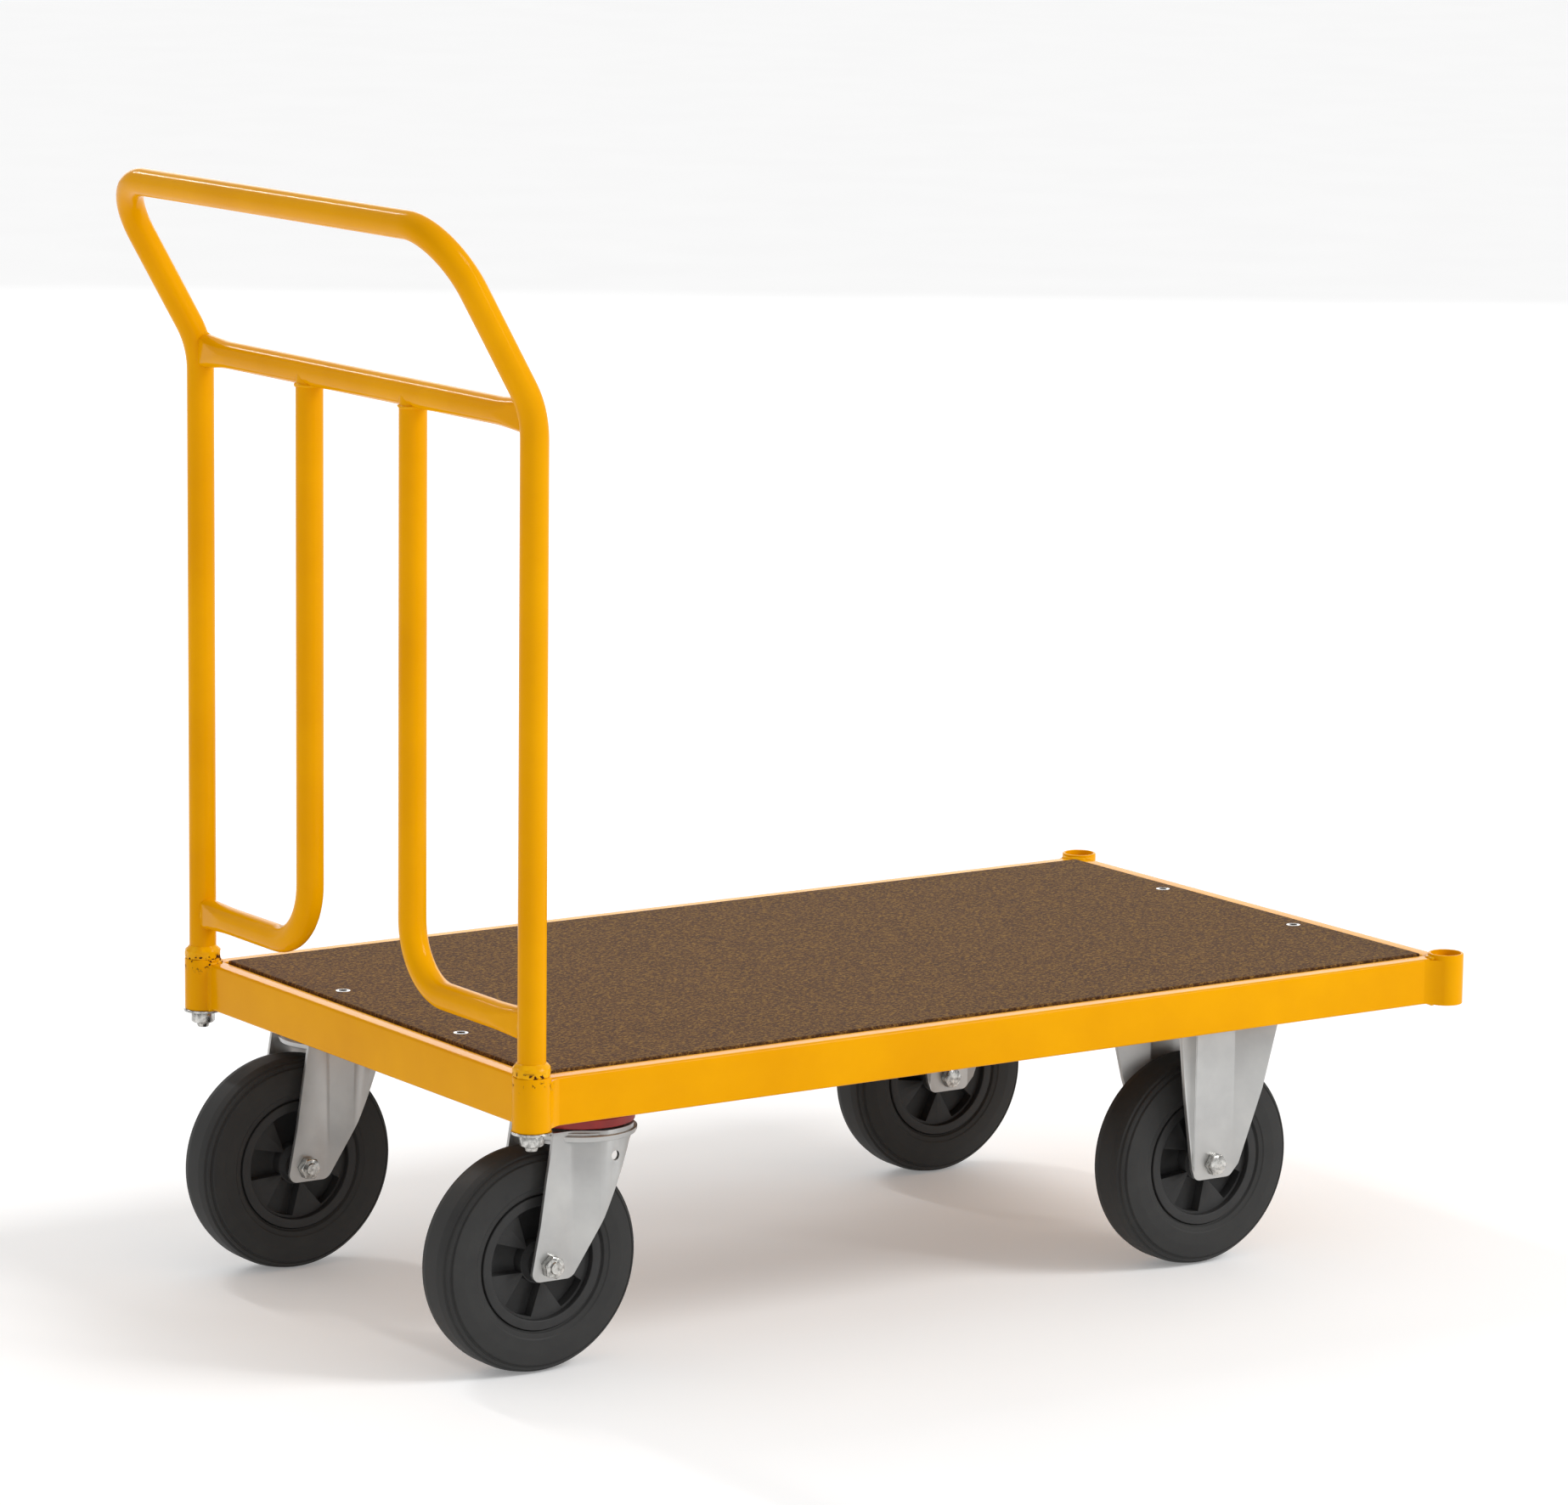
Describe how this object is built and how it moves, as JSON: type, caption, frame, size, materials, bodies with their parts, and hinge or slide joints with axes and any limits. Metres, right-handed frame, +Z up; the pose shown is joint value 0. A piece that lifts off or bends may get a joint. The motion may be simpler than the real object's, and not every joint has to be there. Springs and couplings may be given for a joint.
{
  "type": "platform trolley",
  "caption": "Platform trolley with a yellow tube frame, push handle with stay tubes, brown deck panel, rear swivel casters, front fixed casters and corner stake sockets.",
  "frame": {"origin": "centre of the whole trolley's outline, on the floor", "axes": "+X forwards, away from the push handle; +Y to the left of someone pushing; +Z up"},
  "size_m": [1.1313, 0.6158, 1.0233],
  "materials": {
    "frame_paint": "gloss yellow powder coat",
    "deck_panel": "brown film-faced board, fine mesh pattern",
    "zinc_steel": "bright zinc plate",
    "screw_chrome": "polished plate",
    "bearing_steel": "ground steel",
    "seal_plastic": "dark red moulded plastic",
    "tyre_rubber": "matt charcoal solid rubber",
    "rim_plastic": "satin black moulded plastic"
  },
  "bodies": {
    "root": {"caster_bolts": "zinc_steel", "caster_nuts": "zinc_steel", "caster_washers": "zinc_steel", "corner_socket_front_left": "frame_paint", "corner_socket_front_right": "frame_paint", "corner_socket_rear_left": "frame_paint", "corner_socket_rear_right": "frame_paint", "cross_channels": "frame_paint", "deck_board": "deck_panel", "deck_screws": "screw_chrome", "end_rail_front": "frame_paint", "end_rail_rear": "frame_paint", "fixed_left_axle_bolt": "zinc_steel", "fixed_left_axle_nut": "zinc_steel", "fixed_left_axle_sleeve": "zinc_steel", "fixed_left_bracket": "zinc_steel", "fixed_right_axle_bolt": "zinc_steel", "fixed_right_axle_nut": "zinc_steel", "fixed_right_axle_sleeve": "zinc_steel", "fixed_right_bracket": "zinc_steel", "handle_collars": "frame_paint", "handle_crossbar": "frame_paint", "handle_nuts": "zinc_steel", "handle_studs": "zinc_steel", "handle_tube": "frame_paint", "handle_washers": "zinc_steel", "side_rail_left": "frame_paint", "side_rail_right": "frame_paint", "stay_tube_left": "frame_paint", "stay_tube_right": "frame_paint", "swivel_left_dust_ring": "seal_plastic", "swivel_left_king_bolt": "zinc_steel", "swivel_left_king_nut": "zinc_steel", "swivel_left_swivel_balls": "bearing_steel", "swivel_left_top_plate": "zinc_steel", "swivel_right_dust_ring": "seal_plastic", "swivel_right_king_bolt": "zinc_steel", "swivel_right_king_nut": "zinc_steel", "swivel_right_swivel_balls": "bearing_steel", "swivel_right_top_plate": "zinc_steel"},
    "fixed_left_wheel": {"fixed_left_rim": "rim_plastic", "fixed_left_roller_bearing": "bearing_steel", "fixed_left_tyre": "tyre_rubber"},
    "fixed_right_wheel": {"fixed_right_rim": "rim_plastic", "fixed_right_roller_bearing": "bearing_steel", "fixed_right_tyre": "tyre_rubber"},
    "swivel_left": {"swivel_left_axle_bolt": "zinc_steel", "swivel_left_axle_nut": "zinc_steel", "swivel_left_axle_sleeve": "zinc_steel", "swivel_left_fork": "zinc_steel"},
    "swivel_left_wheel": {"swivel_left_rim": "rim_plastic", "swivel_left_roller_bearing": "bearing_steel", "swivel_left_tyre": "tyre_rubber"},
    "swivel_right": {"swivel_right_axle_bolt": "zinc_steel", "swivel_right_axle_nut": "zinc_steel", "swivel_right_axle_sleeve": "zinc_steel", "swivel_right_fork": "zinc_steel"},
    "swivel_right_wheel": {"swivel_right_rim": "rim_plastic", "swivel_right_roller_bearing": "bearing_steel", "swivel_right_tyre": "tyre_rubber"}
  },
  "joints": [
    {"name": "swivel_right_turn", "type": "hinge", "parent": "root", "child": "swivel_right", "pos_m": [-0.36728, -0.2126, 0.2195], "axis": [0, 0, 1], "continuous": true},
    {"name": "swivel_right_roll", "type": "hinge", "parent": "swivel_right", "child": "swivel_right_wheel", "pos_m": [-0.41728, -0.2126, 0.1], "axis": [0, 1, 0], "continuous": true},
    {"name": "fixed_right_roll", "type": "hinge", "parent": "root", "child": "fixed_right_wheel", "pos_m": [0.30993, -0.2126, 0.1], "axis": [0, 1, 0], "continuous": true},
    {"name": "swivel_left_turn", "type": "hinge", "parent": "root", "child": "swivel_left", "pos_m": [-0.36728, 0.2126, 0.2195], "axis": [0, 0, 1], "continuous": true},
    {"name": "swivel_left_roll", "type": "hinge", "parent": "swivel_left", "child": "swivel_left_wheel", "pos_m": [-0.41728, 0.2126, 0.1], "axis": [0, 1, 0], "continuous": true},
    {"name": "fixed_left_roll", "type": "hinge", "parent": "root", "child": "fixed_left_wheel", "pos_m": [0.30993, 0.2126, 0.1], "axis": [0, 1, 0], "continuous": true}
  ]
}
